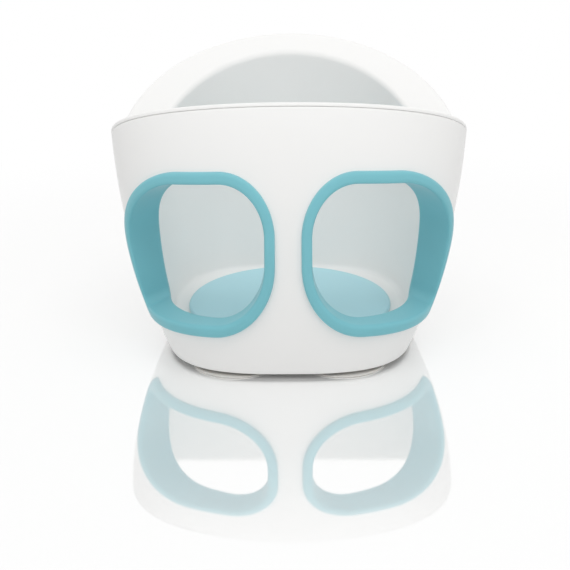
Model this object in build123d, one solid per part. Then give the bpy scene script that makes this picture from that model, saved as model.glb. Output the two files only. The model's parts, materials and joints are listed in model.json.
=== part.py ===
from build123d import *
import math
import os

# Baby bath seat: a double walled tub with a high back, two wide leg openings lined with
# soft trims, a soft pad on the seat floor and four suction cups under the base.
# Millimetres. +Z is up, the front faces -Y, +X is the viewer's right. The origin lies on
# the floor under the middle of the seat's length and width.

# Tub outline, seen from above, at the bottom edge and at the height of the back's crown
base_width = 237.0
base_depth = 234.0
crown_width = 354.0
crown_depth = 204.0
front_of_base = -163.0
front_lean = 124.0
widest_share_at_base = 0.5
widest_share_at_crown = 0.26
base_squareness = 2.95
crown_squareness = 1.97
width_swell = 2.4
back_swell = 1.57
squareness_swell = 2.0

# Tub heights above the floor
skirt_gap = 4.0
front_over_opening = 51.0
back_over_front = 29.0
front_rim_fall = 34.6
back_rim_rise = 28.9
rim_saddle_radius = 48.0

# Walls of the two shells
outer_wall = 3.0
liner_wall = 2.6
floor_end_gap = 12.0
floor_side_gap = 12.0
rim_end_band = 30.0
rim_side_band = 56.0
lip_drop = 6.0
parting_gap = 0.6
floor_underside = 10.0
outer_floor = 3.0
seat_floor_round = 4.0

# Leg openings: outer edge of the soft trim, seen square to the opening
opening_turn = 27.0
opening_left = -63.0
opening_low_right = 93.0
opening_high_right = 134.0
opening_bottom = 43.0
opening_bottom_fall = 9.0
opening_top = 186.0
opening_top_fall = 16.0
opening_high_inner_round = 51.0
opening_high_outer_round = 66.0
opening_low_outer_round = 23.0
opening_low_inner_round = 58.0
opening_round_flare = 4.0
opening_side_flare = 10.0
opening_top_flare = 4.0
opening_bottom_flare = 2.0
opening_least_round = 6.0
opening_middle = 150.0
opening_tool_start = 40.0
opening_tool_end = 235.0
trim_lip_overlap = 7.0
trim_lip_proud = 5.5
trim_wall = 4.0

# Seat pad, which lies on the flat of the seat floor
pad_edge_clearance = 4.6
pad_front_clearance = 0.6
pad_thickness = 6.0
pad_edge_round = 2.4
pad_stud_inset = 30.5
pad_stud_start_angle = 45.0
pad_stud_radius = 4.0
pad_stud_fit = 0.1
pad_stud_length = 5.0
pad_stud_count = 4

# Suction cups
cup_radius = 42.0
cup_tab_gap = 2.0
front_cup_inset = 1.0
rear_cup_inset = 3.0
cup_lip = 1.5
cup_seal_width = 4.0
cup_shoulder_radius = 13.0
cup_shoulder_slope = 3.0
cup_shoulder_height = 1.6
cup_vault = 4.5
cup_vault_fall = 0.6
cup_rim_band = 9.24
cup_rim_rise = 1.2
cup_neck_radius = 5.0
cup_head_rim = 2.5
cup_head_edge = 1.2
cup_head_height = 5.0
cup_head_taper = 1.0
cup_running_fit = 0.08
cup_end_play = 0.1
cup_head_clearance = 3.3
cup_tab_reach = 6.0
cup_tab_width = 14.0
cup_tab_root = 2.0
cup_tab_bottom = 0.3
cup_tab_top = 1.8
socket_rim = 10.0
socket_height = 2.0

# Screws that hold the liner down to the outer floor
boss_radius = 5.0
boss_socket_gap = 2.7
front_boss_step = 34.5
rear_boss_step = 27.5
front_boss_inset = 21.1
rear_boss_inset = 29.1
screw_radius = 1.75
screw_clearance = 0.25
screw_end_gap = 0.5
screw_head_rim = 1.75
screw_head_height = 2.4
screw_top_gap = 2.4
screw_recess_radius = 1.4
screw_recess_depth = 1.3

# Drain holes in both floors
drain_radius = 3.5
drain_inset = 55.5
drain_count = 6

# Tools that cut and join: how finely they are drawn and how far they run past the piece
outline_points = 16
overrun = 1.0
block_over_crown = 12.0
section_heights = [26.0, 70.0, 140.0, 210.0]
least_section_step = 6.0
past_everything = 400.0

# Heights that follow from what stands under them
front_rim_height = opening_top + front_over_opening
crown_height = front_rim_height + back_over_front
outer_floor_top = floor_underside + outer_floor
cup_neck_top = outer_floor_top + socket_height + cup_end_play
cup_head_top = cup_neck_top + cup_head_height
seat_floor_underside = cup_head_top + cup_head_clearance
seat_floor_height = seat_floor_underside + liner_wall
screw_top = seat_floor_underside - screw_top_gap


def rise(height):
    """Share of the way from the bottom edge up to the crown."""
    return (height - skirt_gap) / (crown_height - skirt_gap)


def swell(height, power):
    """Runs from 0 at the bottom edge to 1 at the crown, fast at first and then slowly."""
    left = 1.0 - rise(height)
    return 1.0 - math.copysign(abs(left) ** power, left)


def half_width(height):
    return base_width / 2 + (crown_width - base_width) / 2 * swell(height, width_swell)


def front_at(height):
    return front_of_base + front_lean * rise(height) ** 2


def back_at(height):
    base_back = front_of_base + base_depth
    crown_back = front_of_base + front_lean + crown_depth
    return base_back + (crown_back - base_back) * swell(height, back_swell)


def widest_share(height):
    """Where the outline is widest, as a share of its length from the front."""
    change = widest_share_at_crown - widest_share_at_base
    return widest_share_at_base + change * rise(height) ** 2


def end_gap(height):
    """From the tub's outer face in to the bucket's inner face, at the front and back."""
    return floor_end_gap + (rim_end_band - floor_end_gap) * rise(height)


def side_gap(height):
    """The same at the left and right sides, where the arms of the seat are broad."""
    return floor_side_gap + (rim_side_band - floor_side_gap) * rise(height)


def outline_point(height, side_grow, end_grow, angle):
    """Point of an outline round the tub, angle 0 at the front: a rounded square that turns
    into an oval with height. The grow values move its sides and its ends outwards."""
    side = half_width(height) + side_grow
    front = front_at(height) - end_grow
    back = back_at(height) + end_grow
    middle = front + (back - front) * widest_share(height)
    reach = middle - front if math.cos(angle) > 0 else back - middle
    change = crown_squareness - base_squareness
    power = base_squareness + change * swell(height, squareness_swell)
    across = (abs(math.sin(angle)) / side) ** power
    along = (abs(math.cos(angle)) / reach) ** power
    radius = (across + along) ** (-1.0 / power)
    return (radius * math.sin(angle), middle - radius * math.cos(angle), height)


def outline_wire(height, side_grow, end_grow):
    steps = [2 * math.pi * i / outline_points for i in range(outline_points)]
    points = [outline_point(height, side_grow, end_grow, angle) for angle in steps]
    return Wire([Spline(points, periodic=True)])


def heights_from(bottom):
    above = [h for h in section_heights if h > bottom + least_section_step]
    return [bottom] + above + [crown_height + block_over_crown]


def tub_block(bottom, grow):
    """Solid of the tub's outer form from one height up past the crown."""
    return Solid.make_loft([outline_wire(h, grow, grow) for h in heights_from(bottom)])


def bucket_block(bottom, grow):
    """Solid of the seat's inner form, where grow thickens it evenly."""
    wires = []
    for height in heights_from(bottom):
        wires.append(outline_wire(height, grow - side_gap(height), grow - end_gap(height)))
    return Solid.make_loft(wires)


def above_rim(drop):
    """Everything over the rim, whose side view is two straight slopes and a saddle."""
    fall = math.tan(math.radians(front_rim_fall))
    climb = math.tan(math.radians(back_rim_rise))
    front_y = front_at(front_rim_height)
    back_y = back_at(crown_height)
    front_line = front_rim_height - drop + fall * front_y
    back_line = crown_height - drop - climb * back_y
    saddle_y = (front_line - back_line) / (fall + climb)
    saddle_z = front_line - fall * saddle_y
    reach = past_everything
    left = (-reach, front_line + fall * reach)
    right = (reach, back_line + climb * reach)
    top = max(left[1], right[1]) + overrun
    outline = Polyline(left, (saddle_y, saddle_z), right, (reach, top), (-reach, top), close=True)
    profile = make_face(outline)
    saddle = profile.vertices().sort_by_distance((saddle_y, saddle_z, 0))[0]
    profile = fillet(saddle, rim_saddle_radius)
    profile = Plane.YZ * profile
    return extrude(profile, amount=reach, both=True)


def crossing(first, second):
    """Where two lines meet, each given as a point and a direction."""
    (x, y), (a, b) = first
    (u, v), (c, d) = second
    along = ((u - x) * d - (v - y) * c) / (a * d - b * c)
    return (x + along * a, y + along * b)


def pushed_in(start, end, amount):
    """Line from one corner towards the next, moved to its right hand side by an amount."""
    length = math.hypot(end[0] - start[0], end[1] - start[1])
    way = ((end[0] - start[0]) / length, (end[1] - start[1]) / length)
    return ((start[0] + way[1] * amount, start[1] - way[0] * amount), way)


def opening_face(plane, spread, inset):
    """Outline of a leg opening on a plane square to it. Spread is how far the plane lies
    inside the middle of the wall, where the flared sides have drawn in by their slopes."""
    corners = [
        (opening_left, opening_top),
        (opening_high_right, opening_top - opening_top_fall),
        (opening_low_right, opening_bottom - opening_bottom_fall),
        (opening_left, opening_bottom),
    ]
    flares = [opening_top_flare, opening_side_flare, opening_bottom_flare, opening_turn]
    lines = []
    for i, flare in enumerate(flares):
        amount = inset + spread * math.tan(math.radians(flare))
        lines.append(pushed_in(corners[i], corners[(i + 1) % 4], amount))
    corners = [crossing(lines[i - 1], lines[i]) for i in range(4)]
    rounds = [
        opening_high_inner_round,
        opening_high_outer_round,
        opening_low_outer_round,
        opening_low_inner_round,
    ]
    face = make_face(Polyline(*corners, close=True))
    shrink = inset + spread * math.tan(math.radians(opening_round_flare))
    for corner, radius in zip(corners, rounds):
        vertex = face.vertices().sort_by_distance((corner[0], corner[1], 0))[0]
        face = fillet(vertex, max(radius - shrink, opening_least_round))
    return plane * face


def opening_block(inset, side):
    """Flared block through one leg opening, from inside the seat out past the tub. Its
    side by the front column runs straight back and the others open outwards."""
    turn = math.radians(opening_turn)
    outward = Vector(math.sin(turn), -math.cos(turn), 0)
    across = Vector(math.cos(turn), math.sin(turn), 0)
    wires = []
    for distance in (opening_tool_start, opening_tool_end):
        plane = Plane(origin=outward * distance, x_dir=across, z_dir=outward)
        spread = opening_middle - distance
        wires.append(opening_face(plane, spread, inset).face().outer_wire())
    block = Solid.make_loft(wires, ruled=True)
    if side < 0:
        block = mirror(block, about=Plane.YZ)
    return block


def around(count, radius, centre_y, start=0.0):
    """Points evenly round a circle on the seat's middle line."""
    angles = [math.radians(start + 360.0 * i / count) for i in range(count)]
    return [(radius * math.cos(a), centre_y + radius * math.sin(a)) for a in angles]


def upright(x, y, bottom, top, radius):
    return Pos(x, y, bottom) * extrude(Circle(radius), amount=top - bottom)


def slab(bottom, top):
    """Level block far wider than the seat."""
    width = 2 * past_everything
    return Pos(0, 0, bottom) * extrude(Rectangle(width, width), amount=top - bottom)


# The pad is as large as the flat of the seat floor lets it be and lies near its front
floor_front = front_at(seat_floor_height) + end_gap(seat_floor_height)
floor_back = back_at(seat_floor_height) - end_gap(seat_floor_height)
floor_side = half_width(seat_floor_height) - side_gap(seat_floor_height)
floor_reach = min((floor_back - floor_front) / 2, floor_side)
pad_radius = floor_reach - seat_floor_round - pad_edge_clearance
pad_centre_y = floor_front + seat_floor_round + pad_front_clearance + pad_radius

drain_places = around(drain_count, pad_radius - drain_inset, pad_centre_y)
stud_places = around(
    pad_stud_count, pad_radius - pad_stud_inset, pad_centre_y, pad_stud_start_angle
)

cup_side = cup_radius + cup_tab_reach + cup_tab_gap
front_cup_y = front_of_base + front_cup_inset + cup_radius
rear_cup_y = front_of_base + base_depth - rear_cup_inset - cup_radius
cup_places = {
    "front_left": (-cup_side, front_cup_y),
    "front_right": (cup_side, front_cup_y),
    "rear_left": (-cup_side, rear_cup_y),
    "rear_right": (cup_side, rear_cup_y),
}
boss_side = cup_side + cup_neck_radius + socket_rim + boss_radius + boss_socket_gap
boss_places = [
    (-boss_side, front_cup_y + front_boss_step),
    (boss_side, front_cup_y + front_boss_step),
    (-boss_side, rear_cup_y - rear_boss_step),
    (boss_side, rear_cup_y - rear_boss_step),
    (0, floor_front + front_boss_inset),
    (0, floor_back - rear_boss_inset),
]


def outer_shell(tub, tub_inside):
    """Outer tub: wall, floor with cup sockets, and a short skirt under the floor."""
    socket_top = outer_floor_top + socket_height
    hollow_below = tub_inside & slab(-past_everything, floor_underside)
    hollow_above = tub_inside & slab(outer_floor_top, past_everything)
    shell = tub - hollow_below - hollow_above - above_rim(lip_drop + parting_gap)
    for x, y in cup_places.values():
        shell += upright(x, y, outer_floor_top, socket_top, cup_neck_radius + socket_rim)
    for x, y in cup_places.values():
        neck = cup_neck_radius + cup_running_fit
        shell -= upright(x, y, floor_underside - overrun, socket_top + overrun, neck)
    for x, y in boss_places:
        hole = screw_radius + screw_clearance
        shell -= upright(x, y, floor_underside - overrun, outer_floor_top + overrun, hole)
    for x, y in drain_places:
        shell -= upright(x, y, floor_underside - overrun, outer_floor_top + overrun, drain_radius)
    return shell


def inner_liner(tub, tub_inside, bucket, bucket_outside):
    """Seat bucket: wall, floor, the broad rim and the lip that caps the outer shell."""
    over_lip = above_rim(lip_drop)
    over_band_underside = above_rim(liner_wall)
    cap = (tub & over_lip) - (tub_inside - over_band_underside)
    liner = (bucket_outside + cap) - above_rim(0.0) - bucket
    for x, y in boss_places:
        liner += upright(x, y, outer_floor_top, seat_floor_underside + overrun, boss_radius)
    for x, y in boss_places:
        liner -= upright(x, y, outer_floor_top - overrun, screw_top + screw_end_gap, screw_radius)
    for x, y in drain_places:
        liner -= upright(
            x, y, seat_floor_underside - overrun, seat_floor_height + overrun, drain_radius
        )
    for x, y in stud_places:
        hole = pad_stud_radius + pad_stud_fit
        liner -= upright(x, y, seat_floor_underside - overrun, seat_floor_height + overrun, hole)
    return liner


def leg_trim(tub, tub_proud, bucket, side):
    """Soft trim of one leg opening: a proud lip on the tub and a sleeve to the bucket."""
    through = opening_block(trim_lip_overlap + trim_wall, side)
    lip = (opening_block(0.0, side) & tub_proud) - tub
    sleeve = (opening_block(trim_lip_overlap, side) & tub_proud) - bucket
    return lip + sleeve - through


def seat_pad():
    """Soft round pad with rounded edges and studs that push into the liner's floor."""
    top = seat_floor_height + pad_thickness
    pad = upright(0, pad_centre_y, seat_floor_height, top, pad_radius)
    pad = fillet(pad.edges().filter_by(GeomType.CIRCLE), pad_edge_round)
    for x, y in stud_places:
        bottom = seat_floor_height - pad_stud_length
        pad += upright(x, y, bottom, seat_floor_height + overrun, pad_stud_radius)
    return pad


def suction_cup(x, y):
    """Thin vaulted rubber disc with a neck, a mushroom head and a release tab."""
    head_radius = cup_neck_radius + cup_head_rim
    profile = Polyline(
        (0, cup_vault),
        (cup_shoulder_radius, cup_vault - cup_vault_fall),
        (cup_radius - cup_seal_width, 0),
        (cup_radius, 0),
        (cup_radius, cup_lip),
        (cup_radius - cup_rim_band, cup_lip + cup_rim_rise),
        (cup_shoulder_radius + cup_shoulder_slope, floor_underside - cup_shoulder_height),
        (cup_shoulder_radius, floor_underside),
        (cup_neck_radius, floor_underside),
        (cup_neck_radius, cup_neck_top),
        (head_radius, cup_neck_top),
        (head_radius, cup_neck_top + cup_head_edge),
        (cup_neck_radius - cup_head_taper, cup_head_top),
        (0, cup_head_top),
        close=True,
    )
    body = revolve(Plane.XZ * make_face(profile), axis=Axis.Z)
    inward = -1 if x > 0 else 1
    tab_start = cup_radius - cup_tab_root
    tab_end = cup_radius + cup_tab_reach
    tab = Box(tab_end - tab_start, cup_tab_width, cup_tab_top - cup_tab_bottom)
    middle = (cup_tab_top + cup_tab_bottom) / 2
    tab = Pos(inward * (tab_start + tab_end) / 2, 0, middle) * tab
    return Pos(x, y, 0) * (body + tab)


def floor_screw(x, y):
    """Self-tapping screw put in from below, with a round recess in its head."""
    head_bottom = floor_underside - screw_head_height
    head_radius = screw_radius + screw_head_rim
    head = upright(x, y, head_bottom, floor_underside, head_radius)
    shank = upright(x, y, floor_underside, screw_top, screw_radius)
    recess_top = head_bottom + screw_recess_depth
    recess = upright(x, y, head_bottom, recess_top, screw_recess_radius)
    return head + shank - recess


def save(name, shape):
    export_step(shape, "parts/" + name + ".step")


def main():
    os.makedirs("parts", exist_ok=True)
    tub = tub_block(skirt_gap, 0.0)
    tub_inside = tub_block(skirt_gap, -outer_wall)
    tub_proud = tub_block(skirt_gap, trim_lip_proud)
    bucket = bucket_block(seat_floor_height, 0.0)
    bucket_bottom = bucket.faces().sort_by(Axis.Z)[0]
    bucket = fillet(bucket_bottom.edges(), seat_floor_round)
    bucket_outside = bucket_block(seat_floor_underside, liner_wall)
    outside_bottom = bucket_outside.faces().sort_by(Axis.Z)[0]
    bucket_outside = fillet(outside_bottom.edges(), seat_floor_round + liner_wall)
    shell = outer_shell(tub, tub_inside)
    liner = inner_liner(tub, tub_inside, bucket, bucket_outside)
    for side in (-1, 1):
        opening = opening_block(trim_lip_overlap, side)
        shell -= opening
        liner -= opening
    save("outer_shell", shell)
    save("inner_liner", liner)
    save("left_leg_trim", leg_trim(tub, tub_proud, bucket, -1))
    save("right_leg_trim", leg_trim(tub, tub_proud, bucket, 1))
    save("seat_pad", seat_pad())
    for place, (x, y) in cup_places.items():
        save(place + "_cup", suction_cup(x, y))
    save("floor_screws", Compound([floor_screw(x, y).solid() for x, y in boss_places]))


main()
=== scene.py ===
import json
import math

import bpy
import numpy as np
from bpy.props import FloatProperty, FloatVectorProperty, IntProperty, PointerProperty
from bpy.types import Operator, Panel, PropertyGroup
from mathutils import Matrix


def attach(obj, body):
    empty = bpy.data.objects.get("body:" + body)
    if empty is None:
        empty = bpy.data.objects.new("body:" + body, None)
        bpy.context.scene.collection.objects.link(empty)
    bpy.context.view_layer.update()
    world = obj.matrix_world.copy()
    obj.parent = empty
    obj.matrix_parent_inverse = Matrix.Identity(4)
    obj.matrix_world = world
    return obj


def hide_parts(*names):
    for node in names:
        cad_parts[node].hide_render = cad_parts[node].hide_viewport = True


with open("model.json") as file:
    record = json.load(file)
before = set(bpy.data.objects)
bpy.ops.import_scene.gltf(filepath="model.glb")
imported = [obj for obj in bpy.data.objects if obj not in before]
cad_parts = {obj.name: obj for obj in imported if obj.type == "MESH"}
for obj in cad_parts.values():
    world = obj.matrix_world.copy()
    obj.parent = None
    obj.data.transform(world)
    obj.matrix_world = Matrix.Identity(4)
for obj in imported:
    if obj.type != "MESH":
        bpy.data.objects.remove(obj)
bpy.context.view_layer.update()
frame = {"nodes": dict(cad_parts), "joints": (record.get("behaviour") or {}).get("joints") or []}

bl_info = {
    "name": "Baby bath seat",
    "version": (1, 0, 0),
    "blender": (4, 5, 0),
    "location": "View3D > Sidebar > Bath seat",
    "description": "Builds a double walled baby bath seat with soft leg trims, pad and suction cups",
    "category": "Mesh",
}

# The double wall's two faces, as shares of its thickness
OUTER_FACE = 0
BUCKET_FACE = 1

# How the outline changes from the bottom edge to the crown
WIDTH_POWER = 2.4
BACK_POWER = 1.57
SQUARENESS_POWER = 2.0

# Where the search for the rim's height starts, and the passes of the two searches
RIM_START_HEIGHT = 0.22
RIM_PASSES = 60
WALL_PASSES = 40

# Least round of an opening's corner, and the gap that keeps touching faces apart
LEAST_ROUND = 0.006
CONTACT_GAP = 0.00005

# Edges sharper than this angle, in degrees, stay sharp on the moulded shells
SHARP_ANGLE = 35.0

# Drain holes through both floors, and how far their cutters pass the liner's floor
DRAIN_COUNT = 6
DRAIN_CIRCLE = 0.045
DRAIN_RADIUS = 0.0035
DRAIN_SHELL_LOW = 0.008
DRAIN_SHELL_HIGH = 0.015
DRAIN_BELOW_SEAT = 0.006
DRAIN_ABOVE_SEAT = 0.002

# Half the side of the square floor, and the camera's sensor width in millimetres
FLOOR_REACH = 12.0
SENSOR_WIDTH = 36.0

# Soft lights: name, place, the point it faces, side of the square, power
LIGHTS = (
    ("key", (0.9, -0.6, 1.5), (0.0, 0.0, 0.12), 1.6, 2.9),
    ("fill", (-1.4, -1.2, 0.9), (0.0, 0.0, 0.12), 1.8, 1.0),
    ("front", (0.25, -1.7, 0.42), (0.0, 0.0, 0.12), 0.7, 1.2),
    ("top", (0.0, -0.05, 1.45), (0.0, 0.05, 0.10), 1.2, 6.5),
)


def length(name, description, default):
    """Setting measured in metres."""
    return FloatProperty(name=name, description=description, default=default, unit="LENGTH")


def slope(name, description, degrees):
    """Setting for an angle, with its default in degrees."""
    return FloatProperty(
        name=name, description=description, default=math.radians(degrees), subtype="ANGLE"
    )


class BathSeatTub(PropertyGroup):
    """Form of the tub and of the bucket inside it."""

    base_width: length("Base width", "Across the tub at its bottom edge", 0.237)
    base_depth: length("Base depth", "Front to back at the bottom edge", 0.234)
    crown_width: length("Crown width", "Across the tub at the crown's height", 0.354)
    crown_depth: length("Crown depth", "Front to back at the crown's height", 0.204)
    base_front: length("Base front", "Where the bottom edge starts", -0.163)
    front_lean: length("Front lean", "How far the front leans back", 0.124)
    base_widest: FloatProperty(
        name="Base widest",
        description="Widest place as a share of the depth",
        default=0.5,
        subtype="FACTOR",
    )
    crown_widest: FloatProperty(
        name="Crown widest", description="The same at the crown's height", default=0.26, subtype="FACTOR"
    )
    base_squareness: FloatProperty(
        name="Base squareness", description="2 is an oval, more is a rounded square", default=2.95
    )
    crown_squareness: FloatProperty(
        name="Crown squareness", description="The same at the crown's height", default=1.97
    )
    skirt_gap: length("Skirt gap", "Bottom edge above the floor", 0.004)
    crown_height: length("Crown height", "Highest point of the back", 0.266)
    front_rim_height: length("Front rim height", "Rim above the floor in front", 0.237)
    front_rim_fall: slope("Front rim fall", "Slope of the rim towards its saddle", 34.6)
    back_rim_rise: slope("Back rim rise", "Slope of the rim up to the crown", 28.9)
    saddle_radius: length("Saddle radius", "Round between the two slopes", 0.048)
    floor_gap: length("Floor gap", "Double wall's thickness at the bottom", 0.012)
    rim_end_band: length("Rim end band", "Rim's width at the back", 0.030)
    rim_side_band: length("Rim side band", "Rim's width at the sides", 0.056)
    outer_wall: length("Outer wall", "Thickness of the outer shell", 0.003)
    liner_wall: length("Liner wall", "Thickness of the liner", 0.0026)
    lip_drop: length("Lip drop", "Height of the lip that caps the shell", 0.006)
    parting_gap: length("Parting gap", "Gap under the lip", 0.0006)
    rim_inner_round: length("Rim inner round", "Round on the rim's inner edge", 0.0045)
    rim_outer_round: length("Rim outer round", "Round on the rim's outer edge", 0.0040)
    edge_round: length("Edge round", "Round on thin moulded edges", 0.0008)
    skirt_round: length("Skirt round", "Round on the bottom edge", 0.0016)
    shell_floor_low: length("Shell floor underside", "Height above the bath", 0.010)
    shell_floor_high: length("Shell floor top", "Height above the bath", 0.013)
    seat_floor: length("Seat floor", "Bucket's floor above the bath", 0.026)
    seat_floor_round: length("Seat floor round", "Round between floor and wall", 0.004)
    around: IntProperty(name="Steps around", description="Mesh steps round the tub", default=288)


class BathSeatOpening(PropertyGroup):
    """Form of a leg opening and of the soft trim round it."""

    turn: slope("Turn", "How far the opening faces outwards", 27.0)
    left: length("Column side", "Trim's edge beside the column", -0.063)
    low_right: length("Low outer corner", "Trim's outer edge at the bottom", 0.093)
    high_right: length("High outer corner", "Trim's outer edge at the top", 0.134)
    bottom: length("Bottom", "Trim's low line", 0.042)
    bottom_fall: length("Bottom fall", "Low line's fall to the outer side", 0.009)
    top: length("Top", "Trim's high line", 0.188)
    top_fall: length("Top fall", "High line's fall to the outer side", 0.016)
    high_inner_round: length("High inner round", "Corner by the column", 0.057)
    high_outer_round: length("High outer round", "Corner by the side", 0.066)
    low_outer_round: length("Low outer round", "Corner by the side", 0.023)
    low_inner_round: length("Low inner round", "Corner by the column", 0.065)
    side_flare: slope("Side flare", "How far the outer side opens", 10.0)
    top_flare: slope("Top flare", "How far the top opens", 4.0)
    bottom_flare: slope("Bottom flare", "How far the bottom opens", 2.0)
    middle: length("Middle", "Distance at which the sizes hold", 0.150)
    near: length("Near", "Inner end of the block", 0.040)
    far: length("Far", "Outer end of the block", 0.235)
    overlap: length("Lip overlap", "Lip beyond the hole's edge", 0.007)
    sleeve_wall: length("Sleeve wall", "Thickness of the sleeve", 0.004)
    proud: length("Proud", "How far the lip stands off the shell", 0.0055)
    lip_squareness: FloatProperty(
        name="Lip squareness", description="2 is round, more is square", default=3.0
    )
    bead: length("Inner bead", "Bead round the sleeve's inner end", 0.0012)


class BathSeatPad(PropertyGroup):
    """Size of the soft pad."""

    radius: length("Radius", "Pad's radius", 0.1005)
    centre_y: length("Centre", "Pad's middle", -0.0435)
    thickness: length("Thickness", "Over the seat floor", 0.006)
    edge_round: length("Edge round", "Round of the edge", 0.0028)
    dish: length("Dish", "How far the middle sinks", 0.0010)


class BathSeatCups(PropertyGroup):
    """Size of the suction cups."""

    radius: length("Radius", "Cup's radius", 0.042)
    vault: length("Vault", "Height of the hollow", 0.0045)
    lip: length("Lip", "Thickness of the lip", 0.0015)
    shoulder: length("Shoulder", "Radius of the shoulder", 0.013)
    neck: length("Neck", "Radius of the neck", 0.005)
    head: length("Head", "Radius of the head", 0.0075)
    tab_reach: length("Tab reach", "Release tab", 0.006)
    tab_width: length("Tab width", "Release tab", 0.014)


class BathSeatColours(PropertyGroup):
    """Colours of the moulded pieces."""

    shell: FloatVectorProperty(
        name="Shell", description="Outer shell and liner", default=(0.925, 0.922, 0.91), subtype="COLOR"
    )
    trim: FloatVectorProperty(
        name="Trims", description="Soft leg trims", default=(0.19, 0.53, 0.60), subtype="COLOR"
    )
    pad: FloatVectorProperty(
        name="Pad", description="Soft seat pad", default=(0.47, 0.76, 0.83), subtype="COLOR"
    )
    cups: FloatVectorProperty(
        name="Cups", description="Milky suction cups", default=(0.74, 0.72, 0.68), subtype="COLOR"
    )


class BathSeatStage(PropertyGroup):
    """Camera, floor and the light of the room."""

    camera_distance: length("Camera distance", "In front of the origin", 1.165)
    camera_height: length("Camera height", "Above the floor", 0.466)
    camera_side: length("Camera side", "Right of the middle", 0.0120)
    camera_turn: slope("Camera turn", "Towards the left", 0.85)
    camera_roll: slope("Camera roll", "About its own line", 0.6)
    camera_tilt: slope("Camera tilt", "Below level", 20.47)
    lens: FloatProperty(name="Lens", description="Focal length in millimetres", default=75.8)
    room_light: FloatProperty(
        name="Room light", description="Strength of the white room on matt surfaces", default=0.62
    )
    floor_mirror: FloatProperty(
        name="Floor mirror",
        description="Share of the mirror in the floor",
        default=0.55,
        subtype="FACTOR",
    )
    floor_veil: FloatProperty(
        name="Floor veil", description="Light that the matt floor adds for the camera", default=0.10
    )
    white_from: length("White from", "Where the floor starts to turn white", 0.30)
    white_to: length("White to", "Where the floor is plain white", 0.75)


def tub_settings():
    """The scene's values for the tub."""
    return bpy.context.scene.bath_seat_tub


def rise(height):
    """Share of the way from the bottom edge up to the crown."""
    t = tub_settings()
    return (height - t.skirt_gap) / (t.crown_height - t.skirt_gap)


def swell(height, power):
    """From 0 at the bottom edge to 1 at the crown: one less the rest of the way to a power."""
    left = 1.0 - rise(height)
    return 1.0 - np.sign(left) * np.abs(left) ** power


def tub_ends(height, side_grow, end_grow):
    """Half width, front, back, widest line and squareness of the outline at each height."""
    t = tub_settings()
    share = rise(height)
    half = t.base_width / 2 + (t.crown_width - t.base_width) / 2 * swell(height, WIDTH_POWER) + side_grow
    base_back = t.base_front + t.base_depth
    crown_back = t.base_front + t.front_lean + t.crown_depth
    front = t.base_front + t.front_lean * share**2 - end_grow
    back = base_back + (crown_back - base_back) * swell(height, BACK_POWER) + end_grow
    widest = t.base_widest + (t.crown_widest - t.base_widest) * share**2
    middle = front + (back - front) * widest
    change = t.crown_squareness - t.base_squareness
    square = t.base_squareness + change * swell(height, SQUARENESS_POWER)
    return half, front, back, middle, square


def outline(height, side_grow, end_grow, angle):
    """Points round the tub, angle 0 in front. The radius is (across^n + along^n)^(-1/n), with
    across and along the direction's share of the half width and of the front or back reach."""
    half, front, back, middle, square = tub_ends(height, side_grow, end_grow)
    reach = np.where(np.cos(angle) > 0, middle - front, back - middle)
    across = (np.abs(np.sin(angle)) / half) ** square
    along = (np.abs(np.cos(angle)) / reach) ** square
    radius = (across + along) ** (-1.0 / square)
    x = radius * np.sin(angle)
    y = middle - radius * np.cos(angle)
    return np.stack([x, y, height + 0.0 * x], axis=-1)


def wall_gaps(height):
    """Thickness of the double wall at the sides and at the ends."""
    t = tub_settings()
    side = t.floor_gap + (t.rim_side_band - t.floor_gap) * rise(height)
    end = t.floor_gap + (t.rim_end_band - t.floor_gap) * rise(height)
    return side, end


def rim_height(y):
    """Height of the rim's top over a place: two straight slopes with an arc between them."""
    t = tub_settings()
    fall, climb = t.front_rim_fall, t.back_rim_rise
    front_y = t.base_front + t.front_lean * rise(t.front_rim_height) ** 2
    back_y = t.base_front + t.front_lean + t.crown_depth
    front_line = t.front_rim_height + math.tan(fall) * front_y
    back_line = t.crown_height - math.tan(climb) * back_y
    low_y = (front_line - back_line) / (math.tan(fall) + math.tan(climb))
    low_z = front_line - math.tan(fall) * low_y
    reach = t.saddle_radius * math.tan((fall + climb) / 2)
    start_y = low_y - reach * math.cos(fall)
    end_y = low_y + reach * math.cos(climb)
    middle_y = start_y + t.saddle_radius * math.sin(fall)
    middle_z = low_z + reach * math.sin(fall) + t.saddle_radius * math.cos(fall)
    inside = np.clip(t.saddle_radius**2 - (y - middle_y) ** 2, 0.0, None)
    arc = middle_z - np.sqrt(inside)
    front = front_line - math.tan(fall) * y
    back = back_line + math.tan(climb) * y
    return np.where(y < start_y, front, np.where(y > end_y, back, arc))


def on_face(height, share, grow, angle):
    """Points round the seat on a face at a share of the double wall, grown outwards."""
    side, end = wall_gaps(height)
    return outline(height, grow - share * side, grow - share * end, angle)


def angles():
    """Directions of the mesh's columns round the seat."""
    return np.linspace(0.0, 2 * math.pi, tub_settings().around, endpoint=False)


def ring(share, grow, level=None, drop=None):
    """Points right round the seat on one face. The ring lies at a level, or it follows the rim
    at a drop below it."""
    angle = angles()
    if level is not None:
        return on_face(level + 0.0 * angle, share, grow, angle)
    height = RIM_START_HEIGHT + 0.0 * angle
    for _ in range(RIM_PASSES):
        points = on_face(height, share, grow, angle)
        height = 0.5 * height + 0.5 * (rim_height(points[:, 1]) - drop)
    return on_face(height, share, grow, angle)


def between(share, grow, low, high, steps):
    """Rings on one wall, evenly from the heights of one ring to the heights of another."""
    angle = angles()
    rings = []
    for part in np.linspace(0.0, 1.0, steps + 1)[1:-1]:
        height = low[:, 2] + (high[:, 2] - low[:, 2]) * part
        rings.append(on_face(height, share, grow, angle))
    return rings


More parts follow.
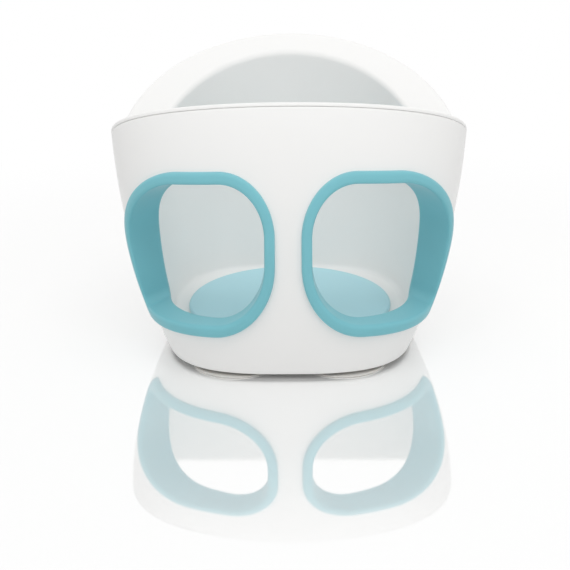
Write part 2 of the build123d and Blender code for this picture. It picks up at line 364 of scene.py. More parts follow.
def disc(edge, level, steps):
    """Rings of a flat floor from near its middle out to its edge, and the middle itself."""
    centre = edge.mean(axis=0)
    centre[2] = level
    return centre, [centre + (edge - centre) * k for k in np.linspace(0.0, 1.0, steps + 1)[1:]]


def signed_volume(points, faces):
    """Sum over all faces, cut into triangles from their first corner, of corner dot cross."""
    total = 0.0
    for size in {len(f) for f in faces}:
        block = np.array([f for f in faces if len(f) == size])
        a = points[block[:, 0]]
        for k in range(1, size - 1):
            b, c = points[block[:, k]], points[block[:, k + 1]]
            total += np.einsum("ij,ij->", a, np.cross(b, c))
    return total


def make_piece(name, points, faces, smooth_angle=40.0):
    """Mesh object at the origin with its faces outwards and its normals smooth."""
    if signed_volume(points, faces) < 0:
        faces = [tuple(reversed(f)) for f in faces]
    mesh = bpy.data.meshes.new(name)
    mesh.from_pydata(points.tolist(), [], faces)
    mesh.update()
    mesh.shade_smooth()
    mesh.set_sharp_from_angle(angle=math.radians(smooth_angle))
    piece = bpy.data.objects.new(name, mesh)
    bpy.context.scene.collection.objects.link(piece)
    return piece


def lathe_faces(rows, columns, first_pole, last_pole, wrap_rows=False):
    """Faces of a grid whose columns close on themselves. Poles are the indices of the end
    points, or None where the end is open."""
    index = np.arange(rows * columns).reshape(rows, columns)
    if wrap_rows:
        index = np.vstack([index, index[:1]])
    a, b = index[:-1], index[1:]
    quads = np.stack([a, np.roll(a, -1, axis=1), np.roll(b, -1, axis=1), b], axis=-1)
    faces = [tuple(q) for q in quads.reshape(-1, 4).tolist()]
    for pole, row in ((first_pole, index[0]), (last_pole, index[-1])):
        if pole is None:
            continue
        after = np.roll(row, -1)
        order = (row, after) if pole == last_pole else (after, row)
        faces += [(int(p), int(q), pole) for p, q in zip(*order)]
    return faces


def lathe_piece(name, rings, first_centre, last_centre, smooth_angle=40.0):
    """Closed piece from rings of equal length, with a point at each end."""
    rows, columns = len(rings), len(rings[0])
    points = np.vstack([np.vstack(rings), first_centre[None], last_centre[None]])
    faces = lathe_faces(rows, columns, rows * columns, rows * columns + 1)
    return make_piece(name, points, faces, smooth_angle)


def opening_outline(spread, inset, steps):
    """Rounded four sided outline of a leg opening in its own plane: each corner is an arc of
    its own radius and each side a straight run, every one in the same number of steps. The
    sides move in by the inset and by the spread times their flare."""
    o = bpy.context.scene.bath_seat_opening
    corners = np.array([
        (o.left, o.top),
        (o.high_right, o.top - o.top_fall),
        (o.low_right, o.bottom - o.bottom_fall),
        (o.left, o.bottom),
    ])
    flares = np.tan([o.top_flare, o.side_flare, o.bottom_flare, o.turn])
    way = np.roll(corners, -1, axis=0) - corners
    way /= np.linalg.norm(way, axis=1)[:, None]
    right_hand = np.stack([way[:, 1], -way[:, 0]], axis=1)
    start = corners + right_hand * (inset + spread * flares)[:, None]
    before, last = np.roll(start, 1, axis=0), np.roll(way, 1, axis=0)
    gap = start - before
    cross = gap[:, 0] * way[:, 1] - gap[:, 1] * way[:, 0]
    along = cross / (last[:, 0] * way[:, 1] - last[:, 1] * way[:, 0])
    corners = before + last * along[:, None]
    rounds = np.array([o.high_inner_round, o.high_outer_round, o.low_outer_round, o.low_inner_round])
    rounds = np.maximum(rounds - inset - spread * math.tan(o.top_flare), LEAST_ROUND)
    arcs = []
    for k in range(4):
        before = corners[k - 1] - corners[k]
        after = corners[(k + 1) % 4] - corners[k]
        before /= np.linalg.norm(before)
        after /= np.linalg.norm(after)
        half = math.acos(float(before @ after)) / 2
        centre = corners[k] + (before + after) / np.linalg.norm(before + after) * rounds[k] / math.sin(half)
        start = corners[k] + before * rounds[k] / math.tan(half) - centre
        end = corners[k] + after * rounds[k] / math.tan(half) - centre
        first = math.atan2(start[1], start[0])
        sweep = (math.atan2(end[1], end[0]) - first + math.pi) % (2 * math.pi) - math.pi
        way = first + sweep * np.linspace(0.0, 1.0, steps)[:, None]
        arcs.append(centre + rounds[k] * np.hstack([np.cos(way), np.sin(way)]))
    points = []
    for k in range(4):
        start, end = arcs[k][-1], arcs[(k + 1) % 4][0]
        part = np.linspace(0.0, 1.0, steps + 1)[1:-1, None]
        points += [arcs[k], start + (end - start) * part]
    return np.vstack(points)


def opening_lines(inset, side, steps=26):
    """Inner and outer ends of the straight lines that make up one opening's walls."""
    o = bpy.context.scene.bath_seat_opening
    outward = np.array([math.sin(o.turn), -math.cos(o.turn), 0.0])
    across = np.array([math.cos(o.turn), math.sin(o.turn), 0.0])
    ends = []
    for distance in (o.near, o.far):
        flat = opening_outline(o.middle - distance, inset, steps)
        points = outward * distance + flat[:, :1] * across + flat[:, 1:] * np.array([0.0, 0.0, 1.0])
        points[:, 0] *= side
        ends.append(points)
    return ends


def on_wall(lines, share, grow):
    """Where each line leaves one face of the double wall, grown outwards. Each pass halves the
    interval."""
    near, far = lines
    low = np.zeros(len(near))
    high = np.ones(len(near))
    for _ in range(WALL_PASSES):
        part = (low + high) / 2
        points = near + (far - near) * part[:, None]
        side, end = wall_gaps(points[:, 2])
        half, front, back, middle, square = tub_ends(points[:, 2], grow - share * side, grow - share * end)
        reach = np.where(points[:, 1] < middle, middle - front, back - middle)
        across = np.abs(points[:, 0] / half) ** square
        along = np.abs((points[:, 1] - middle) / reach) ** square
        inside = across + along < 1.0
        low = np.where(inside, part, low)
        high = np.where(inside, high, part)
    return near + (far - near) * low[:, None]


def opening_cutter(name, side):
    """Closed block that cuts one leg opening through both shells."""
    o = bpy.context.scene.bath_seat_opening
    near, far = opening_lines(o.overlap, side)
    count = len(near)
    points = np.vstack([near, far])
    index = np.arange(count)
    after = np.roll(index, -1)
    quads = np.stack([index, after, after + count, index + count], axis=-1)
    faces = [tuple(q) for q in quads.tolist()]
    faces += [tuple(reversed(range(count))), tuple(range(count, 2 * count))]
    return make_piece(name, points, faces)


def hole_cutter(name, places, radius, low, high):
    """Closed upright rods, one at each place, for round holes."""
    steps = 40
    way = np.linspace(0.0, 2 * math.pi, steps, endpoint=False)
    points, faces = [], []
    for x, y in places:
        start = sum(len(p) for p in points)
        for level in (low, high):
            edge_x = x + radius * np.cos(way)
            edge_y = y + radius * np.sin(way)
            points.append(np.stack([edge_x, edge_y, level + 0 * way], axis=-1))
        index = start + np.arange(steps)
        after = start + np.roll(np.arange(steps), -1)
        quads = np.stack([index, after, after + steps, index + steps], axis=-1)
        faces += [tuple(q) for q in quads.tolist()]
        faces += [tuple(reversed(index.tolist())), tuple((index + steps).tolist())]
    return make_piece(name, np.vstack(points), faces)


def cut(piece, cutters):
    """Cuts each cutter out of the piece, keeps the result in its mesh and drops the cutters."""
    for cutter in cutters:
        modifier = piece.modifiers.new("cut", "BOOLEAN")
        modifier.operation = "DIFFERENCE"
        modifier.solver = "EXACT"
        modifier.object = cutter
    graph = bpy.context.evaluated_depsgraph_get()
    mesh = bpy.data.meshes.new_from_object(piece.evaluated_get(graph))
    piece.modifiers.clear()
    old = piece.data
    piece.data = mesh
    bpy.data.meshes.remove(old)
    mesh.shade_smooth()
    mesh.set_sharp_from_angle(angle=math.radians(SHARP_ANGLE))
    for cutter in cutters:
        bpy.data.objects.remove(cutter)


def circle_places(count, radius, centre_y):
    """Places evenly round a circle, the first towards +X."""
    way = np.linspace(0.0, 2 * math.pi, count, endpoint=False)
    return list(zip(radius * np.cos(way), centre_y + radius * np.sin(way)))


def quarter(steps):
    """Sines and cosines of a quarter turn."""
    way = np.linspace(0.0, math.pi / 2, steps)
    return list(zip(np.sin(way), np.cos(way)))


def shell_rings():
    """Rings of the outer shell: floor, inner wall, top edge, outer wall, skirt, underside."""
    t = tub_settings()
    top = t.lip_drop + t.parting_gap
    inner_low = ring(OUTER_FACE, -t.outer_wall, level=t.shell_floor_high)
    inner_high = ring(OUTER_FACE, -t.outer_wall, drop=top)
    centre, rings = disc(inner_low, t.shell_floor_high, steps=3)
    rings += between(OUTER_FACE, -t.outer_wall, inner_low, inner_high, steps=40)
    rings.append(inner_high)
    r = t.edge_round
    rings += [ring(OUTER_FACE, -r + r * s, drop=top + r - r * c) for s, c in quarter(steps=4)]
    outer_low = ring(OUTER_FACE, 0, level=t.skirt_gap + t.skirt_round)
    rings += between(OUTER_FACE, 0, rings[-1], outer_low, steps=120)
    r = t.skirt_round
    rings += [ring(OUTER_FACE, -r + r * c, level=t.skirt_gap + r - r * s) for s, c in quarter(steps=6)]
    rings.append(ring(OUTER_FACE, -t.outer_wall, level=t.skirt_gap))
    under_edge = ring(OUTER_FACE, -t.outer_wall, level=t.shell_floor_low)
    last, under = disc(under_edge, t.shell_floor_low, steps=3)
    return centre, rings + under[::-1], last


def liner_rings():
    """Rings of the liner: floor, bucket wall, broad rim, lip, and back down its hidden side."""
    t = tub_settings()
    r = t.seat_floor_round
    floor_edge = ring(BUCKET_FACE, -r, level=t.seat_floor)
    centre, rings = disc(floor_edge, t.seat_floor, steps=4)
    rings += [
        ring(BUCKET_FACE, -r + r * s, level=t.seat_floor + r - r * c) for s, c in quarter(steps=7)[1:]
    ]
    wall_top = ring(BUCKET_FACE, 0, drop=t.rim_inner_round)
    rings += between(BUCKET_FACE, 0, rings[-1], wall_top, steps=110)
    r = t.rim_inner_round
    rings += [ring(BUCKET_FACE, r - r * c, drop=r - r * s) for s, c in quarter(steps=8)]
    for part in np.linspace(0.0, 1.0, 13)[1:-1]:
        grow = t.rim_inner_round * (1 - part) - t.rim_outer_round * part
        rings.append(ring(1 - part, grow, drop=0.0))
    r = t.rim_outer_round
    rings += [ring(OUTER_FACE, -r + r * s, drop=r - r * c) for s, c in quarter(steps=8)]
    r = t.edge_round
    rings += [ring(OUTER_FACE, -r + r * c, drop=t.lip_drop - r + r * s) for s, c in quarter(steps=4)]
    rings.append(ring(OUTER_FACE, -t.outer_wall, drop=t.lip_drop))
    rings.append(ring(OUTER_FACE, -t.outer_wall, drop=t.liner_wall))
    rings.append(ring(BUCKET_FACE, t.liner_wall, drop=t.liner_wall))
    low = ring(BUCKET_FACE, t.liner_wall, level=t.seat_floor + t.seat_floor_round)
    rings += between(BUCKET_FACE, t.liner_wall, rings[-1], low, steps=40)
    r = t.seat_floor_round + t.liner_wall
    top = t.seat_floor + t.seat_floor_round
    rings += [
        ring(BUCKET_FACE, t.liner_wall - r + r * c, level=top - r * s) for s, c in quarter(steps=6)
    ]
    last, under = disc(rings[-1], t.seat_floor - t.liner_wall, steps=3)
    return centre, rings + under[::-1][1:], last


def trim_piece(name, side):
    """Soft trim: a closed profile carried round the opening. Outside it is a squarish arch
    from the shell to the sleeve's mouth, then the sleeve, a bead, and the hidden back."""
    o = bpy.context.scene.bath_seat_opening
    width = o.overlap + o.sleeve_wall
    arch_steps = 25
    sleeve_steps = 12
    bead_steps = 9
    rows = []
    for way in np.linspace(0.0, math.pi, arch_steps):
        c, s = math.cos(way), math.sin(way)
        inset = width / 2 * (1 - math.copysign(abs(c) ** (2 / o.lip_squareness), c))
        grow = CONTACT_GAP + o.proud * abs(s) ** (2 / o.lip_squareness)
        rows.append(on_wall(opening_lines(inset, side), OUTER_FACE, grow))
    mouth = rows[-1]
    inner = on_wall(opening_lines(width, side), BUCKET_FACE, 0.0)
    rows += [mouth + (inner - mouth) * part for part in np.linspace(0.0, 1.0, sleeve_steps)[1:]]
    bead_width = o.sleeve_wall + o.bead
    for way in np.linspace(0.0, math.pi, bead_steps)[1:]:
        inset = width - bead_width / 2 * (1 - math.cos(way))
        rows.append(on_wall(opening_lines(inset, side), BUCKET_FACE, -o.bead * math.sin(way)))
    back = opening_lines(o.overlap + CONTACT_GAP, side)
    rows.append(on_wall(back, BUCKET_FACE, CONTACT_GAP))
    rows.append(on_wall(back, OUTER_FACE, CONTACT_GAP))
    points = np.vstack(rows)
    faces = lathe_faces(len(rows), len(rows[0]), None, None, wrap_rows=True)
    return make_piece(name, points, faces, smooth_angle=50.0)


def revolve(name, profile, x, y, reach=None, steps=96):
    """Profile of radius and height turned about an upright line. Reach adds to the radius by
    direction, for the rows that a weight marks."""
    way = np.linspace(0.0, 2 * math.pi, steps, endpoint=False)
    rings = []
    for radius, level, weight in profile:
        r = radius + (weight * reach(way) if reach else 0.0)
        rings.append(np.stack([x + r * np.cos(way), y + r * np.sin(way), level + 0.0 * way], axis=-1))
    first = np.array([x, y, profile[0][1]])
    last = np.array([x, y, profile[-1][1]])
    return lathe_piece(name, rings, first, last)


def pad_piece(name):
    """Round pad: a shallow dish on top, a round edge and a flat underside."""
    p = bpy.context.scene.bath_seat_pad
    floor = tub_settings().seat_floor
    top = floor + p.thickness
    flat = p.radius - p.edge_round
    profile = []
    first_ring = 0.02
    for part in np.linspace(first_ring, 1.0, 40):
        sink = p.dish * (1 - part**2) ** 2
        profile.append((flat * part, top - sink, 0.0))
    for s, c in quarter(steps=9)[1:]:
        profile.append((flat + p.edge_round * s, top - p.edge_round + p.edge_round * c, 0.0))
    low_round_share = 0.8
    low_round = p.edge_round * low_round_share
    for s, c in quarter(steps=7):
        profile.append((p.radius - low_round + low_round * c, floor + low_round - low_round * s, 0.0))
    profile.append((flat * 0.5, floor, 0.0))
    return revolve(name, profile, 0.0, p.centre_y, steps=256)


def cup_piece(name, x, y):
    """Suction cup: thin bell, lip with a release tab towards the seat's middle, neck, head."""
    c = bpy.context.scene.bath_seat_cups
    low = tub_settings().shell_floor_low
    neck_top = 0.0151
    head_top = neck_top + 0.005
    head_side = 0.0012
    head_bevel = 0.0004
    crown_inset = 0.001
    tip_inset = 0.002
    seal_width = 0.004
    edge_inset = 0.0006
    edge_low = 0.0005
    edge_bevel = 0.0004
    bell_inset = 0.0008
    bell_power = 2.2
    shoulder_drop = 0.0006
    shoulder_step = 0.001
    tab_power = 8
    inward = 0.0 if x < 0 else math.pi
    half = c.tab_width / 2 / c.radius

    def reach(way):
        turn = np.abs((way - inward + math.pi) % (2 * math.pi) - math.pi)
        return c.tab_reach / (1 + (turn / half) ** tab_power)

    profile = [(0.001, c.vault, 0.0)]
    for part in np.linspace(0.1, 1.0, 12):
        radius = (c.radius - seal_width) * part
        profile.append((radius, c.vault * (1 - part**2), 0.0))
    profile.append((c.radius - edge_inset, 0.0, 1.0))
    profile.append((c.radius, edge_low, 1.0))
    profile.append((c.radius, c.lip - edge_bevel, 1.0))
    profile.append((c.radius - edge_inset, c.lip, 1.0))
    bell = c.radius - bell_inset
    for part in np.linspace(0.0, 1.0, 14)[1:]:
        radius = bell - (bell - c.shoulder - shoulder_step) * part
        level = c.lip + (low - shoulder_drop - c.lip) * part**bell_power
        profile.append((radius, level, 0.0))
    profile.append((c.shoulder, low - CONTACT_GAP, 0.0))
    profile.append((c.neck, low - CONTACT_GAP, 0.0))
    profile.append((c.neck, neck_top, 0.0))
    profile.append((c.head, neck_top, 0.0))
    profile.append((c.head, neck_top + head_side, 0.0))
    profile.append((c.neck - crown_inset, head_top - head_bevel, 0.0))
    profile.append((c.neck - tip_inset, head_top, 0.0))
    return revolve(name, profile, x, y, reach=reach)


def new_material(name):
    """Material with its nodes, its links and its Principled shader."""
    material = bpy.data.materials.new(name)
    material.use_nodes = True
    nodes = material.node_tree.nodes
    return material, nodes, material.node_tree.links, nodes["Principled BSDF"]


def surface_group():
    """Shader group for moulded surfaces: slow mottling of tone and gloss, and a fine skin."""
    name = "Moulded skin"
    if name in bpy.data.node_groups:
        return bpy.data.node_groups[name]
    group = bpy.data.node_groups.new(name, "ShaderNodeTree")
    face = group.interface
    for label, kind, default in (
        ("Tone", "NodeSocketColor", (0.8, 0.8, 0.8, 1.0)),
        ("Tone change", "NodeSocketFloat", 0.02),
        ("Gloss low", "NodeSocketFloat", 0.25),
        ("Gloss high", "NodeSocketFloat", 0.40),
        ("Mottle scale", "NodeSocketFloat", 18.0),
        ("Skin scale", "NodeSocketFloat", 2500.0),
    ):
        socket = face.new_socket(name=label, in_out="INPUT", socket_type=kind)
        socket.default_value = default
    face.new_socket(name="Color", in_out="OUTPUT", socket_type="NodeSocketColor")
    face.new_socket(name="Roughness", in_out="OUTPUT", socket_type="NodeSocketFloat")
    face.new_socket(name="Height", in_out="OUTPUT", socket_type="NodeSocketFloat")
    nodes, links = group.nodes, group.links
    entry = nodes.new("NodeGroupInput")
    leave = nodes.new("NodeGroupOutput")
    place = nodes.new("ShaderNodeTexCoord")
    mottle = nodes.new("ShaderNodeTexNoise")
    mottle.inputs["Detail"].default_value = 4.0
    skin = nodes.new("ShaderNodeTexNoise")
    skin.inputs["Detail"].default_value = 2.0
    links.new(place.outputs["Object"], mottle.inputs["Vector"])
    links.new(place.outputs["Object"], skin.inputs["Vector"])
    links.new(entry.outputs["Mottle scale"], mottle.inputs["Scale"])
    links.new(entry.outputs["Skin scale"], skin.inputs["Scale"])
    swing = nodes.new("ShaderNodeMapRange")
    swing.inputs["To Min"].default_value = -1.0
    swing.inputs["To Max"].default_value = 1.0
    links.new(mottle.outputs["Fac"], swing.inputs["Value"])
    amount = nodes.new("ShaderNodeMath")
    amount.operation = "MULTIPLY_ADD"
    amount.inputs[2].default_value = 1.0
    links.new(swing.outputs["Result"], amount.inputs[0])
    links.new(entry.outputs["Tone change"], amount.inputs[1])
    tone = nodes.new("ShaderNodeVectorMath")
    tone.operation = "SCALE"
    links.new(entry.outputs["Tone"], tone.inputs[0])
    links.new(amount.outputs["Value"], tone.inputs["Scale"])
    links.new(tone.outputs["Vector"], leave.inputs["Color"])
    gloss = nodes.new("ShaderNodeMapRange")
    gloss.inputs["From Min"].default_value = 0.1
    gloss.inputs["From Max"].default_value = 0.9
    links.new(mottle.outputs["Fac"], gloss.inputs["Value"])
    links.new(entry.outputs["Gloss low"], gloss.inputs["To Min"])
    links.new(entry.outputs["Gloss high"], gloss.inputs["To Max"])
    links.new(gloss.outputs["Result"], leave.inputs["Roughness"])
    links.new(skin.outputs["Fac"], leave.inputs["Height"])
    return group


def moulded_material(name, colour, change, gloss, mottle_scale, skin_scale, skin_depth):
    """Moulded plastic or elastomer: the shared skin group feeds colour, roughness and bump."""
    material, nodes, links, shader = new_material(name)
    skin = nodes.new("ShaderNodeGroup")
    skin.node_tree = surface_group()
    skin.inputs["Tone"].default_value = (*colour, 1.0)
    skin.inputs["Tone change"].default_value = change
    skin.inputs["Gloss low"].default_value = gloss[0]
    skin.inputs["Gloss high"].default_value = gloss[1]
    skin.inputs["Mottle scale"].default_value = mottle_scale
    skin.inputs["Skin scale"].default_value = skin_scale
    links.new(skin.outputs["Color"], shader.inputs["Base Color"])
    links.new(skin.outputs["Roughness"], shader.inputs["Roughness"])
    bump = nodes.new("ShaderNodeBump")
    bump.inputs["Strength"].default_value = 0.3
    bump.inputs["Distance"].default_value = skin_depth
    links.new(skin.outputs["Height"], bump.inputs["Height"])
    links.new(bump.outputs["Normal"], shader.inputs["Normal"])
    return material, shader


def shell_material():
    """White glossy plastic of the shell and liner."""
    colour = bpy.context.scene.bath_seat_colours.shell
    material, shader = moulded_material(
        "White moulding", colour, change=0.003, gloss=(0.28, 0.32),
        mottle_scale=9.0, skin_scale=2200.0, skin_depth=0.00001
    )
    shader.inputs["IOR"].default_value = 1.46
    return material


def trim_material():
    """Aqua elastomer of the leg trims."""
    colour = bpy.context.scene.bath_seat_colours.trim
    material, shader = moulded_material(
        "Aqua elastomer", colour, change=0.03, gloss=(0.38, 0.50),
        mottle_scale=30.0, skin_scale=1800.0, skin_depth=0.00004
    )
    shader.inputs["Sheen Weight"].default_value = 0.15
    shader.inputs["Sheen Roughness"].default_value = 0.5
    return material


def pad_material():
    """Pale aqua elastomer of the pad."""
    colour = bpy.context.scene.bath_seat_colours.pad
    material, shader = moulded_material(
        "Pale aqua elastomer", colour, change=0.025, gloss=(0.42, 0.55),
        mottle_scale=26.0, skin_scale=1500.0, skin_depth=0.00005
    )
    shader.inputs["Sheen Weight"].default_value = 0.1
    return material


def cup_material():
    """Milky elastomer that light enters a little."""
    colour = bpy.context.scene.bath_seat_colours.cups
    material, shader = moulded_material(
        "Milky elastomer", colour, change=0.03, gloss=(0.22, 0.34),
        mottle_scale=40.0, skin_scale=1500.0, skin_depth=0.00002
    )
    shader.inputs["Subsurface Weight"].default_value = 0.35
    shader.inputs["Subsurface Radius"].default_value = (0.004, 0.0035, 0.003)
    shader.inputs["Subsurface Scale"].default_value = 1.0
    return material


def screw_material():
    """Stainless steel with fine turned grain."""
    material, nodes, links, shader = new_material("Stainless screw")
    shader.inputs["Metallic"].default_value = 1.0
    place = nodes.new("ShaderNodeTexCoord")
    stretch = nodes.new("ShaderNodeMapping")
    stretch.inputs["Scale"].default_value = (400.0, 400.0, 4000.0)
    grain = nodes.new("ShaderNodeTexNoise")
    grain.inputs["Scale"].default_value = 1.0
    tone = nodes.new("ShaderNodeValToRGB")
    tone.color_ramp.elements[0].color = (0.48, 0.48, 0.47, 1.0)
    tone.color_ramp.elements[1].color = (0.68, 0.68, 0.67, 1.0)
    gloss = nodes.new("ShaderNodeMapRange")
    gloss.inputs["To Min"].default_value = 0.22
    gloss.inputs["To Max"].default_value = 0.42
    links.new(place.outputs["Object"], stretch.inputs["Vector"])
    links.new(stretch.outputs["Vector"], grain.inputs["Vector"])
    links.new(grain.outputs["Fac"], tone.inputs["Fac"])
    links.new(grain.outputs["Fac"], gloss.inputs["Value"])
    links.new(tone.outputs["Color"], shader.inputs["Base Color"])
    links.new(gloss.outputs["Result"], shader.inputs["Roughness"])
    return material


def floor_material():
    """Pale polished floor: a clear mirror mixed with a matt white that keeps the shadow, and
    plain white to the camera further away."""
    s = bpy.context.scene.bath_seat_stage
    material, nodes, links, shader = new_material("Pale floor")
    shader.inputs["Roughness"].default_value = 0.6
    shader.inputs["Base Color"].default_value = (0.93, 0.93, 0.925, 1.0)
    shader.inputs["Emission Color"].default_value = (1.0, 1.0, 1.0, 1.0)
    path = nodes.new("ShaderNodeLightPath")
    veil = nodes.new("ShaderNodeMath")
    veil.operation = "MULTIPLY"
    veil.inputs[1].default_value = s.floor_veil
    links.new(path.outputs["Is Camera Ray"], veil.inputs[0])
    links.new(veil.outputs["Value"], shader.inputs["Emission Strength"])
    mirror = nodes.new("ShaderNodeBsdfGlossy")
    mirror.inputs["Color"].default_value = (1.0, 1.0, 1.0, 1.0)
    mirror.inputs["Roughness"].default_value = 0.03
    both = nodes.new("ShaderNodeMixShader")
    both.inputs["Fac"].default_value = s.floor_mirror
    links.new(shader.outputs["BSDF"], both.inputs[1])
    links.new(mirror.outputs["BSDF"], both.inputs[2])
    place = nodes.new("ShaderNodeTexCoord")
    away = nodes.new("ShaderNodeVectorMath")
    away.operation = "LENGTH"
    fade = nodes.new("ShaderNodeMapRange")
    fade.interpolation_type = "SMOOTHSTEP"
    fade.inputs["From Min"].default_value = s.white_from
    fade.inputs["From Max"].default_value = s.white_to
    seen = nodes.new("ShaderNodeMath")
    seen.operation = "MULTIPLY"
    bright = nodes.new("ShaderNodeEmission")
    far = nodes.new("ShaderNodeMixShader")
    links.new(place.outputs["Object"], away.inputs[0])
    links.new(away.outputs["Value"], fade.inputs["Value"])
    links.new(fade.outputs["Result"], seen.inputs[0])
    links.new(path.outputs["Is Camera Ray"], seen.inputs[1])
    links.new(seen.outputs["Value"], far.inputs["Fac"])
    links.new(both.outputs["Shader"], far.inputs[1])
    links.new(bright.outputs["Emission"], far.inputs[2])
    links.new(far.outputs["Shader"], nodes["Material Output"].inputs["Surface"])
    return material


def place_piece(piece, body, slot, material, *nodes):
    """Gives a piece its material, names the CAD nodes it replaces, and seats it on
    its body. The slot argument is not used."""
    piece.data.materials.clear()
    piece.data.materials.append(material)
    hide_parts(*nodes)
    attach(piece, body)


class BATHSEAT_OT_shells(Operator):
    """Builds the outer shell and the liner, with leg openings and drain holes cut out"""

    bl_idname = "bathseat.shells"
    bl_label = "Shells"

    def execute(self, context):
        material = shell_material()
        t = tub_settings()
        p = context.scene.bath_seat_pad
        centre, rings, last = shell_rings()
        shell = lathe_piece("tub_shell", rings, centre, last, SHARP_ANGLE)
        drains = circle_places(DRAIN_COUNT, DRAIN_CIRCLE, p.centre_y)
        cut(shell, [
            opening_cutter("cut_left", -1),
            opening_cutter("cut_right", 1),
            hole_cutter("cut_drains", drains, DRAIN_RADIUS, DRAIN_SHELL_LOW, DRAIN_SHELL_HIGH),
        ])
        place_piece(shell, "tub", "white_shell", material, "outer_shell")
        centre, rings, last = liner_rings()
        drain_low = t.seat_floor - DRAIN_BELOW_SEAT
        drain_high = t.seat_floor + DRAIN_ABOVE_SEAT
        liner = lathe_piece("seat_liner", rings, centre, last, SHARP_ANGLE)
        cut(liner, [
            opening_cutter("cut_left", -1),
            opening_cutter("cut_right", 1),
            hole_cutter("cut_drains", drains, DRAIN_RADIUS, drain_low, drain_high),
        ])
        place_piece(liner, "tub", "white_liner", material, "inner_liner")
        return {"FINISHED"}


class BATHSEAT_OT_trims(Operator):
    """Builds the two soft leg trims"""

    bl_idname = "bathseat.trims"
    bl_label = "Leg trims"

    def execute(self, context):
        material = trim_material()
        place_piece(trim_piece("trim_left", -1), "tub", "aqua_trim", material, "left_leg_trim")
        place_piece(trim_piece("trim_right", 1), "tub", "aqua_trim", material, "right_leg_trim")
        return {"FINISHED"}


class BATHSEAT_OT_pad(Operator):
    """Builds the soft seat pad"""

    bl_idname = "bathseat.pad"
    bl_label = "Seat pad"

    def execute(self, context):
        pad = pad_piece("pad")
        place_piece(pad, "seat_pad", "pale_aqua_pad", pad_material(), "seat_pad")
        return {"FINISHED"}


class BATHSEAT_OT_cups(Operator):
    """Builds the four suction cups and gives the CAD screws their steel"""

    bl_idname = "bathseat.cups"
    bl_label = "Suction cups"

    def execute(self, context):
        material = cup_material()
        for node in ("front_left_cup", "front_right_cup", "rear_left_cup", "rear_right_cup"):
            joint = next(j for j in frame["joints"] if j["child"] == node)
            x, y = joint["pos_m"][:2]
            place_piece(cup_piece("rubber_" + node, x, y), node, "milky_rubber", material, node)
        steel = screw_material()
        for material_slot in frame["nodes"]["floor_screws"].material_slots:
            material_slot.material = steel
        return {"FINISHED"}


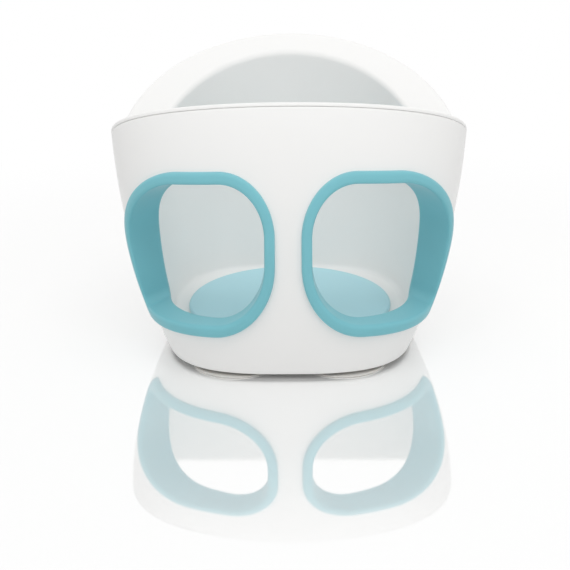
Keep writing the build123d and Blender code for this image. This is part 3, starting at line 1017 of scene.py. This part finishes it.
class BATHSEAT_OT_stage(Operator):
    """Builds the pale floor, the soft studio light and the camera"""

    bl_idname = "bathseat.stage"
    bl_label = "Stage"

    def execute(self, context):
        scene = context.scene
        s = scene.bath_seat_stage
        size = FLOOR_REACH
        mesh = bpy.data.meshes.new("floor")
        mesh.from_pydata(
            [(-size, -size, 0), (size, -size, 0), (size, size, 0), (-size, size, 0)], [], [(0, 1, 2, 3)]
        )
        floor = bpy.data.objects.new("floor", mesh)
        floor.data.materials.append(floor_material())
        scene.collection.objects.link(floor)
        camera = bpy.data.objects.new("camera", bpy.data.cameras.new("camera"))
        camera.data.sensor_width = SENSOR_WIDTH
        camera.data.lens = s.lens
        camera.location = (s.camera_side, -s.camera_distance, s.camera_height)
        turn = Matrix.Rotation(s.camera_turn, 3, "Z")
        tilt = Matrix.Rotation(math.pi / 2 - s.camera_tilt, 3, "X")
        roll = Matrix.Rotation(-s.camera_roll, 3, "Z")
        camera.rotation_euler = (turn @ tilt @ roll).to_euler()
        scene.collection.objects.link(camera)
        scene.camera = camera
        for light in LIGHTS:
            self.light(scene, *light)
        world = bpy.data.worlds.new("studio")
        world.use_nodes = True
        nodes, links = world.node_tree.nodes, world.node_tree.links
        background = nodes["Background"]
        background.inputs["Color"].default_value = (1.0, 1.0, 1.0, 1.0)
        path = nodes.new("ShaderNodeLightPath")
        seen = nodes.new("ShaderNodeMath")
        seen.operation = "MAXIMUM"
        level = nodes.new("ShaderNodeMapRange")
        level.inputs["To Min"].default_value = s.room_light
        level.inputs["To Max"].default_value = 1.0
        links.new(path.outputs["Is Camera Ray"], seen.inputs[0])
        links.new(path.outputs["Is Glossy Ray"], seen.inputs[1])
        links.new(seen.outputs["Value"], level.inputs["Value"])
        links.new(level.outputs["Result"], background.inputs["Strength"])
        scene.world = world
        scene.view_settings.view_transform = "Standard"
        return {"FINISHED"}

    def light(self, scene, name, place, aim, size, power):
        """Square soft light that faces a point."""
        data = bpy.data.lights.new(name, "AREA")
        data.size = size
        data.energy = power
        lamp = bpy.data.objects.new(name, data)
        lamp.location = place
        lamp.visible_glossy = False
        away = np.array(place) - np.array(aim)
        flat = math.hypot(away[0], away[1])
        lamp.rotation_euler = (math.atan2(flat, away[2]), 0.0, math.atan2(away[0], -away[1]))
        scene.collection.objects.link(lamp)


class BATHSEAT_PT_panel(Panel):
    """Sidebar panel with a button for each group of pieces and for the stage"""

    bl_idname = "BATHSEAT_PT_panel"
    bl_label = "Bath seat"
    bl_space_type = "VIEW_3D"
    bl_region_type = "UI"
    bl_category = "Bath seat"

    def draw(self, context):
        for operator in BUILDERS:
            self.layout.operator(operator.bl_idname)


SETTINGS = {
    "bath_seat_tub": BathSeatTub,
    "bath_seat_opening": BathSeatOpening,
    "bath_seat_pad": BathSeatPad,
    "bath_seat_cups": BathSeatCups,
    "bath_seat_colours": BathSeatColours,
    "bath_seat_stage": BathSeatStage,
}
BUILDERS = (
    BATHSEAT_OT_shells,
    BATHSEAT_OT_trims,
    BATHSEAT_OT_pad,
    BATHSEAT_OT_cups,
    BATHSEAT_OT_stage,
)


def register():
    for settings in SETTINGS.values():
        bpy.utils.register_class(settings)
    for operator in BUILDERS:
        bpy.utils.register_class(operator)
    bpy.utils.register_class(BATHSEAT_PT_panel)
    for name, settings in SETTINGS.items():
        setattr(bpy.types.Scene, name, PointerProperty(type=settings))


def unregister():
    for name in SETTINGS:
        delattr(bpy.types.Scene, name)
    bpy.utils.unregister_class(BATHSEAT_PT_panel)
    for operator in reversed(BUILDERS):
        bpy.utils.unregister_class(operator)
    for settings in reversed(SETTINGS.values()):
        bpy.utils.unregister_class(settings)


def main():
    register()
    bpy.ops.bathseat.shells()
    bpy.ops.bathseat.trims()
    bpy.ops.bathseat.pad()
    bpy.ops.bathseat.cups()
    bpy.ops.bathseat.stage()


if __name__ == "__main__":
    main()
